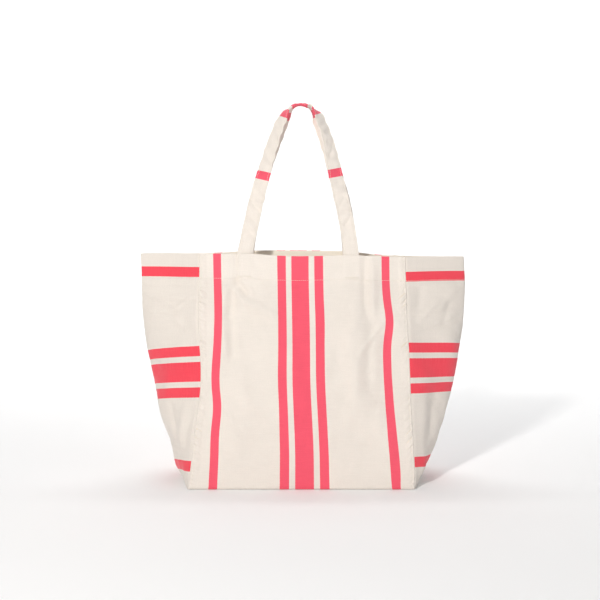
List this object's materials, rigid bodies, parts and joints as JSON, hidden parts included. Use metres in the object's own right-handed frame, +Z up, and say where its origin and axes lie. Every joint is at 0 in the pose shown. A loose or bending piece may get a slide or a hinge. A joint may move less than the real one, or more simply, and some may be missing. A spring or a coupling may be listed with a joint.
{
  "type": "beach bag",
  "caption": "Open canvas beach tote with a woven stripe pattern, spreading side gussets, a flat base and swinging straps that lean together.",
  "frame": {"origin": "centre of the base, on the ground", "axes": "+Z up, front panel towards -Y, +X to the right seen from the front"},
  "size_m": [0.5398, 0.205, 0.6189],
  "materials": {
    "canvas": "heavy plain-weave cotton canvas, cream with coral-pink woven stripes that run up the front and back",
    "gusset_canvas": "the same canvas turned a quarter, so that its stripes run across the gusset",
    "strap_canvas": "the same canvas folded in four, with the stripes as bands across the strap",
    "facing": "plain cream cotton facing",
    "binding_tape": "cream cotton binding tape",
    "thread": "cream cotton-wrapped polyester thread"
  },
  "bodies": {
    "bag": {"body_panel": "canvas", "left_gusset": "gusset_canvas", "right_gusset": "gusset_canvas", "rim_facing": "facing", "left_seam_binding": "binding_tape", "right_seam_binding": "binding_tape", "hem_stitching": "thread", "left_seam_stitching": "thread", "right_seam_stitching": "thread", "front_left_strap_end": "strap_canvas", "front_right_strap_end": "strap_canvas", "back_left_strap_end": "strap_canvas", "back_right_strap_end": "strap_canvas", "front_left_strap_tack": "thread", "front_right_strap_tack": "thread", "back_left_strap_tack": "thread", "back_right_strap_tack": "thread"},
    "front_handle": {"front_strap": "strap_canvas", "front_strap_stitching": "thread"},
    "back_handle": {"back_strap": "strap_canvas", "back_strap_stitching": "thread"}
  },
  "joints": [
    {"name": "front_strap_swing", "type": "hinge", "parent": "bag", "child": "front_handle", "pos_m": [0, -0.0373, 0.368], "axis": [1, 0, 0], "range_deg": [0, 165]},
    {"name": "back_strap_swing", "type": "hinge", "parent": "bag", "child": "back_handle", "pos_m": [0, 0.0373, 0.371], "axis": [-1, 0, 0], "range_deg": [0, 165]}
  ]
}
